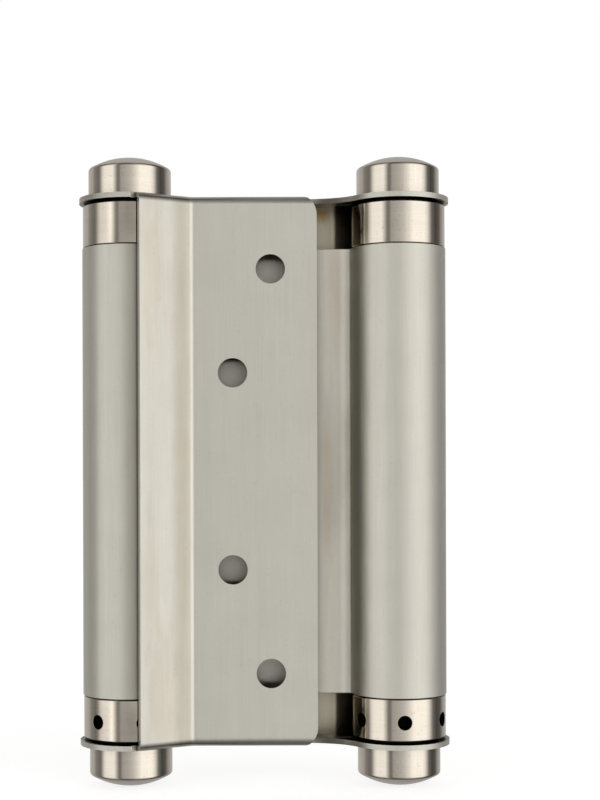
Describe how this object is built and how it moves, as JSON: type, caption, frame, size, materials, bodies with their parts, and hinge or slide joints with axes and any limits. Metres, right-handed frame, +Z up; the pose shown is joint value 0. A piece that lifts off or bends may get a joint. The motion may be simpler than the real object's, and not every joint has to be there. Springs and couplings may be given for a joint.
{
  "type": "double action spring hinge",
  "caption": "Double action spring hinge: two bent leaves on sprung barrels joined by a web, closing a door from either side.",
  "frame": {"origin": "middle of the web, halfway between the two barrel axes and halfway up", "axes": "+Z up along the barrels; +Y from the door towards the jamb; +X from the door leaf's barrel to the jamb leaf's barrel"},
  "size_m": [0.1018, 0.0298, 0.1728],
  "materials": {
    "satin_steel": "satin, brushed lengthwise",
    "polished_steel": "turned and polished",
    "bright_steel": "bright drawn",
    "spring_steel": "oiled, dark",
    "nylon": "moulded, matt"
  },
  "bodies": {
    "jamb_side": {"jamb_leaf": "satin_steel", "jamb_spindle": "bright_steel", "jamb_top_cap": "polished_steel", "jamb_bottom_cap": "polished_steel"},
    "web": {"centre_web": "satin_steel", "door_top_collar": "polished_steel", "jamb_top_collar": "polished_steel", "door_spring": "spring_steel", "jamb_spring": "spring_steel", "door_top_bush": "nylon", "jamb_top_bush": "nylon", "door_top_washer": "bright_steel", "jamb_top_washer": "bright_steel"},
    "door_side": {"door_leaf": "satin_steel", "door_spindle": "bright_steel", "door_top_cap": "polished_steel", "door_bottom_cap": "polished_steel"},
    "door_tension": {"door_tension_collar": "polished_steel", "door_bottom_bush": "nylon", "door_bottom_washer": "bright_steel"},
    "jamb_tension": {"jamb_tension_collar": "polished_steel", "jamb_bottom_bush": "nylon", "jamb_bottom_washer": "bright_steel"}
  },
  "joints": [
    {"name": "jamb_barrel_swing", "type": "hinge", "parent": "jamb_side", "child": "web", "pos_m": [0.037, 0, 0], "axis": [0, 0, 1], "range_deg": [0, 120], "stiffness_Nm_per_rad": 1.2, "springref_deg": -22.92},
    {"name": "door_barrel_swing", "type": "hinge", "parent": "web", "child": "door_side", "pos_m": [-0.037, 0, 0], "axis": [0, 0, -1], "range_deg": [0, 120], "stiffness_Nm_per_rad": 1.2, "springref_deg": -22.92},
    {"name": "jamb_tension_turn", "type": "hinge", "parent": "web", "child": "jamb_tension", "pos_m": [0.037, 0, 0], "axis": [0, 0, 1], "range_deg": [0, 180], "stiffness_Nm_per_rad": 0.6, "deforming": ["jamb_spring"]},
    {"name": "door_tension_turn", "type": "hinge", "parent": "web", "child": "door_tension", "pos_m": [-0.037, 0, 0], "axis": [0, 0, 1], "range_deg": [0, 180], "stiffness_Nm_per_rad": 0.6, "deforming": ["door_spring"]}
  ]
}
